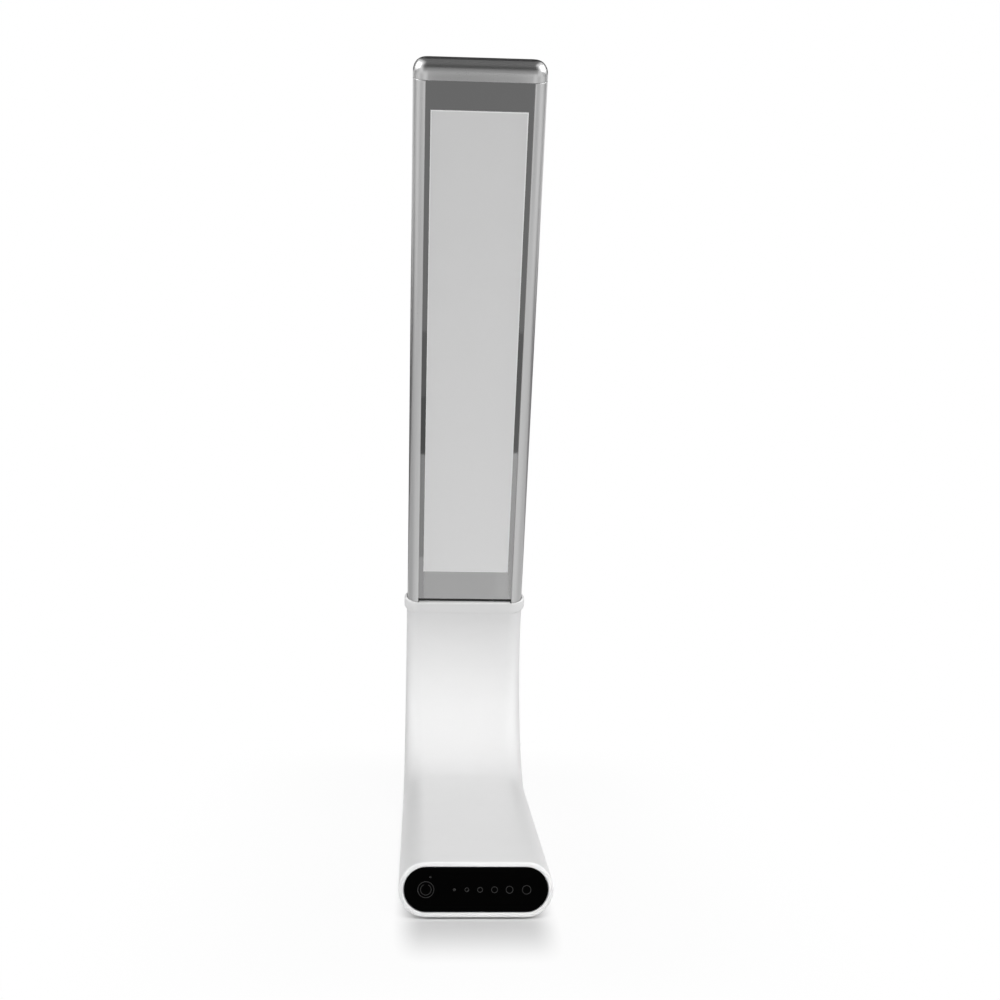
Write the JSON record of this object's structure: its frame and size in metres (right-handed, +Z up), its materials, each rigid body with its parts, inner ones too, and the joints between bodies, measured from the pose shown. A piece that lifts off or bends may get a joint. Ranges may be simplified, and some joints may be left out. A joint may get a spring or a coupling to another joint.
{
  "type": "desk lamp",
  "caption": "Slim desk lamp: a flat light panel in an aluminium frame on a bendable flat neck, over a low base with a touch panel in its front end.",
  "frame": {"origin": "on the floor under the rubber feet, midway between the base's front face and the rearmost point of the neck, on the lamp's mid plane", "axes": "+Z up, -Y out of the touch panel towards the user, +X to the user's right"},
  "size_m": [0.0626, 0.2278, 0.3547],
  "materials": {
    "white_plastic": "fine satin moulding",
    "white_silicone": "smooth matt silicone",
    "white_steel": "satin powder coat",
    "black_acrylic": "polished",
    "satin_aluminium": "satin anodised",
    "mirror_glass": "polished, grey mirror",
    "pale_film": "diffusing",
    "bare_steel": "bright zinc plate",
    "cast_zinc": "as cast",
    "bronze": "plain",
    "grey_rubber": "matt",
    "green_board": "lacquered",
    "black_plastic": "satin",
    "cream_plastic": "satin",
    "foil": "smooth foil",
    "clear_resin": "clear"
  },
  "bodies": {
    "base": {"base_shell": "white_plastic", "bottom_plate": "white_steel", "bottom_screw_1": "bare_steel", "bottom_screw_2": "bare_steel", "bottom_screw_3": "bare_steel", "bottom_screw_4": "bare_steel", "rubber_foot_1": "grey_rubber", "rubber_foot_2": "grey_rubber", "rubber_foot_3": "grey_rubber", "rubber_foot_4": "grey_rubber", "touch_panel": "black_acrylic", "touch_board": "green_board", "status_led": "clear_resin", "ballast_plate": "bare_steel", "battery_pack": "foil", "main_board": "green_board", "board_screw_1": "bare_steel", "board_screw_2": "bare_steel", "driver_coil": "black_plastic", "driver_capacitor": "foil", "ribbon_connector": "cream_plastic", "charge_socket": "bare_steel", "spine_base_bracket": "cast_zinc", "bracket_screw_1": "bare_steel", "bracket_screw_2": "bare_steel", "hinge_pin_1": "bare_steel", "friction_washer_1_1": "bronze", "friction_washer_1_2": "bronze", "neck_sleeve": "white_silicone", "lead_ribbon": "black_plastic"},
    "link_1": {"spine_link_1": "cast_zinc", "hinge_pin_2": "bare_steel", "friction_washer_2_1": "bronze", "friction_washer_2_2": "bronze"},
    "link_2": {"spine_link_2": "cast_zinc", "hinge_pin_3": "bare_steel", "friction_washer_3_1": "bronze", "friction_washer_3_2": "bronze"},
    "link_3": {"spine_link_3": "cast_zinc", "hinge_pin_4": "bare_steel", "friction_washer_4_1": "bronze", "friction_washer_4_2": "bronze"},
    "head": {"head_bracket": "cast_zinc", "head_bracket_screw_1": "bare_steel", "head_bracket_screw_2": "bare_steel", "collar": "white_silicone", "collar_screw_1": "bare_steel", "collar_screw_2": "bare_steel", "head_frame": "satin_aluminium", "top_cap": "satin_aluminium", "panel_glass": "mirror_glass", "light_film": "pale_film", "heat_spreader": "foil", "panel_board": "green_board", "panel_connector": "cream_plastic"}
  },
  "joints": [
    {"name": "neck_bend_1", "type": "hinge", "parent": "base", "child": "link_1", "pos_m": [0, 0.06119, 0.01353], "axis": [1, 0, 0], "range_deg": [-3, 15], "deforming": ["neck_sleeve", "lead_ribbon"]},
    {"name": "neck_bend_2", "type": "hinge", "parent": "link_1", "child": "link_2", "pos_m": [0, 0.08755, 0.02821], "axis": [1, 0, 0], "range_deg": [-3, 15], "deforming": ["neck_sleeve", "lead_ribbon"]},
    {"name": "neck_bend_3", "type": "hinge", "parent": "link_2", "child": "link_3", "pos_m": [0, 0.10343, 0.05387], "axis": [1, 0, 0], "range_deg": [-3, 15], "deforming": ["neck_sleeve", "lead_ribbon"]},
    {"name": "neck_bend_4", "type": "hinge", "parent": "link_3", "child": "head", "pos_m": [0, 0.10481, 0.08401], "axis": [1, 0, 0], "range_deg": [-3, 15], "deforming": ["neck_sleeve", "lead_ribbon"]}
  ]
}
